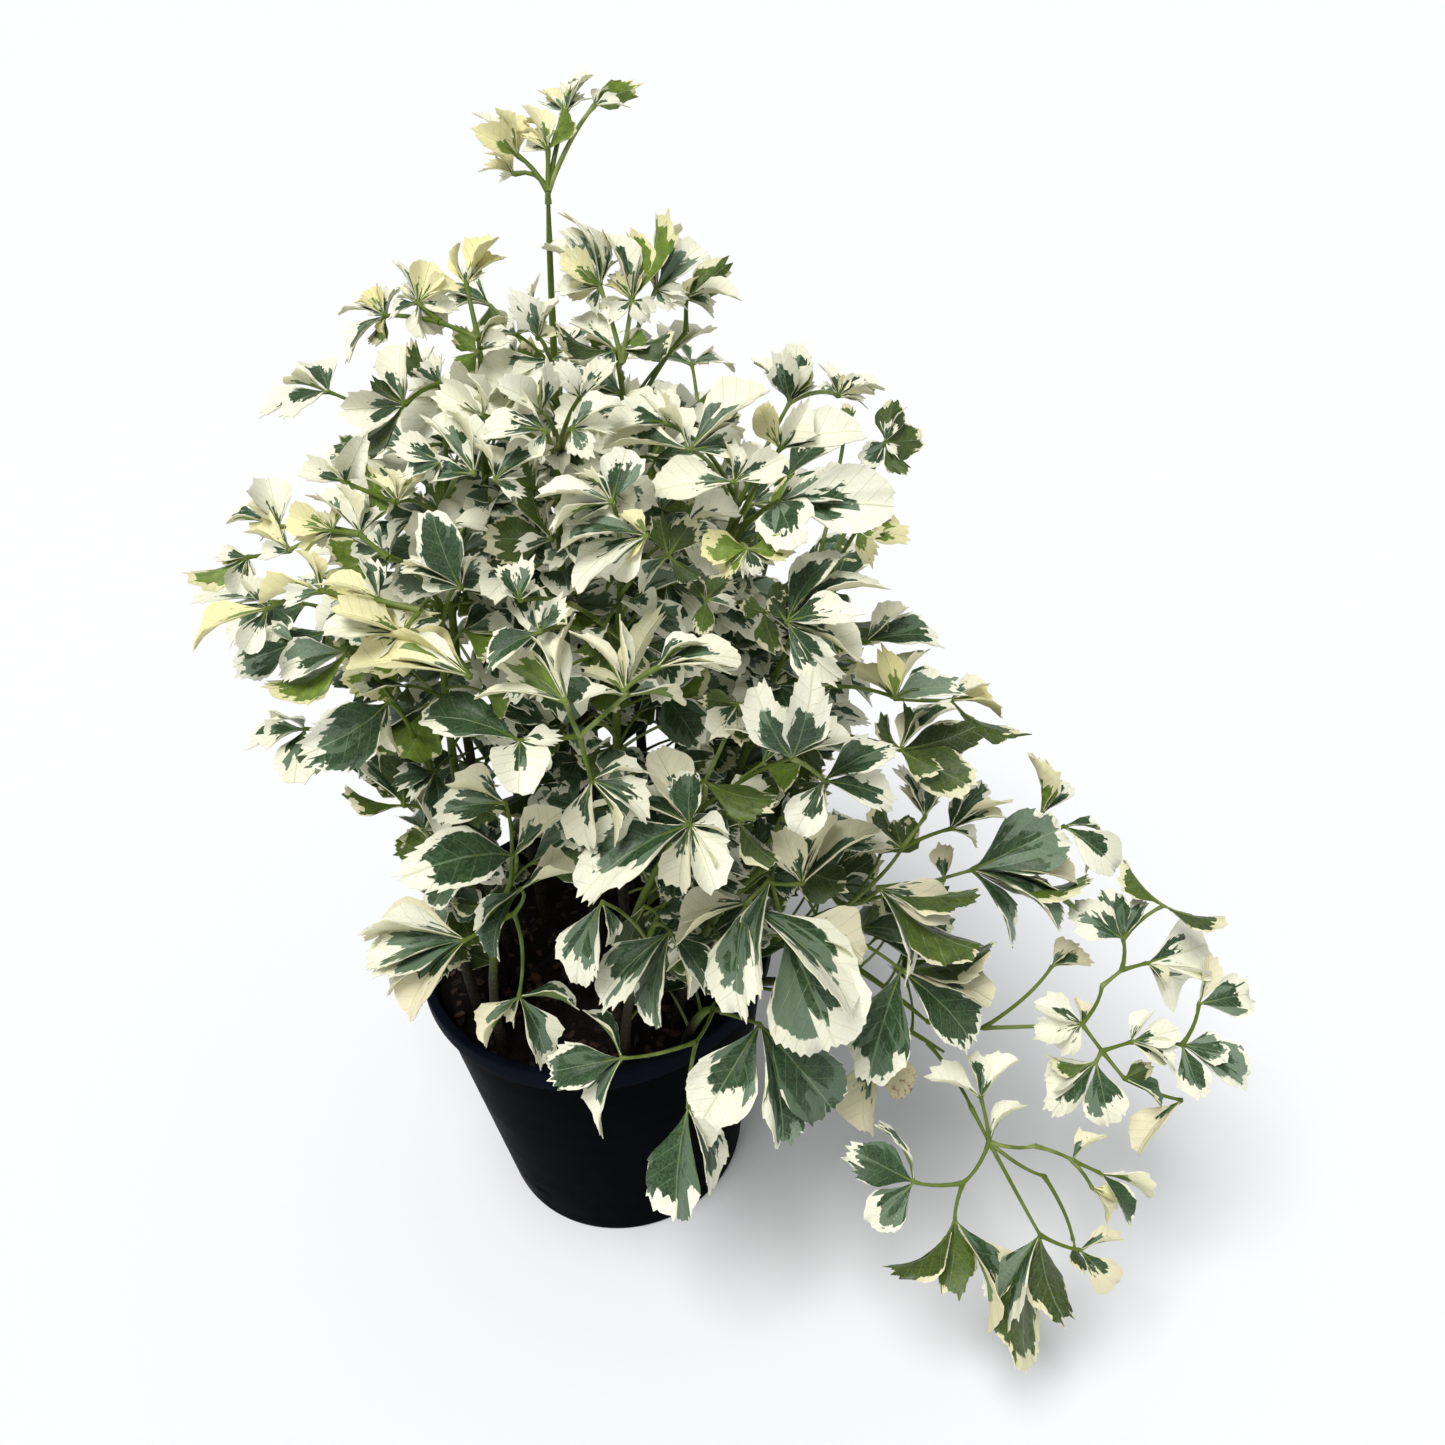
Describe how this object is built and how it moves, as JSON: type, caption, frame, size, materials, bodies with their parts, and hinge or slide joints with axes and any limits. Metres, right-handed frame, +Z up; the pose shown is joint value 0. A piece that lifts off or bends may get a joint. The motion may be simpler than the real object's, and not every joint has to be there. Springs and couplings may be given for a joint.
{
  "type": "potted snowflake aralia",
  "caption": "Bushy potted foliage plant with variegated green and cream leaflets on slender fronds, in a round black nursery pot filled with soil.",
  "frame": {"origin": "centre of the pot's flat base, on the surface that the pot stands on", "axes": "+Z up along the pot's axis; -Y towards the side that the picture was taken from; +X to the right of that view, where the long low stems reach out"},
  "size_m": [0.4069, 0.312, 0.5205],
  "materials": {
    "pot": "satin black moulded plastic",
    "soil": "damp dark potting mix with bark chips",
    "foliage": "satin variegated leaf, grey green with cream margins"
  },
  "bodies": {
    "root": {"pot": "pot", "soil": "soil", "stem-leader": "foliage", "stem-top-left": "foliage", "stem-top-right": "foliage", "stem-upper-left": "foliage", "stem-left": "foliage", "stem-low-left": "foliage", "stem-front-left": "foliage", "stem-crown": "foliage", "stem-centre": "foliage", "stem-upper-right": "foliage", "stem-right": "foliage", "stem-front": "foliage", "stem-front-right": "foliage", "stem-low-front": "foliage", "stem-over-rim": "foliage", "stem-low-right": "foliage", "stem-arm": "foliage", "stem-trailing": "foliage", "stem-side-left": "foliage", "stem-rear-left": "foliage", "stem-rear": "foliage", "stem-rear-right": "foliage", "stem-side-right": "foliage"}
  },
  "joints": []
}
